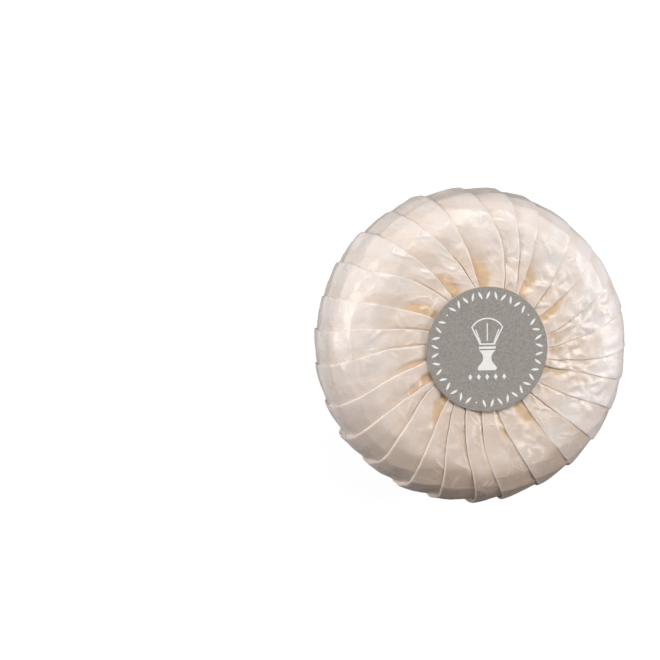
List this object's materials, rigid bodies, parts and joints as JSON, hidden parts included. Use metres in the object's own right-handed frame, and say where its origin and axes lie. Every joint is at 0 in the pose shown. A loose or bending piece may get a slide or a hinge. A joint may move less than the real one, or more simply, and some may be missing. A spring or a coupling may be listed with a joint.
{
  "type": "shaving soap puck",
  "caption": "Round-shouldered disc of shaving soap wrapped in knife-pleated paper that swirls to the middle of its top, closed by a round peel-off paper seal.",
  "frame": {"origin": "centre of the face the puck rests on, the smooth back of the wrapper", "axes": "+Z along the puck's axis, up through the seal; +Y towards the top of the seal's print; +X to the print's right"},
  "size_m": [0.0637, 0.0638, 0.0249],
  "materials": {
    "soap": "pressed soap, smooth and slightly waxy",
    "wrapper_paper": "thin cream-white waxed paper, lightly glossy, finely creased",
    "adhesive": "clear pressure-sensitive film",
    "seal_paper": "matte warm-grey printed paper",
    "ink": "flat off-white print"
  },
  "bodies": {
    "wrapped_soap": {"soap_puck": "soap", "pleated_wrapper": "wrapper_paper"},
    "seal": {"seal_adhesive": "adhesive", "seal_label": "seal_paper", "seal_border_print": "ink", "seal_emblem_print": "ink"}
  },
  "joints": [
    {"name": "seal_peel", "type": "hinge", "parent": "wrapped_soap", "child": "seal", "pos_m": [0, 0.0125, 0.02485], "axis": [-1, 0, 0], "range_deg": [0, 150]}
  ]
}
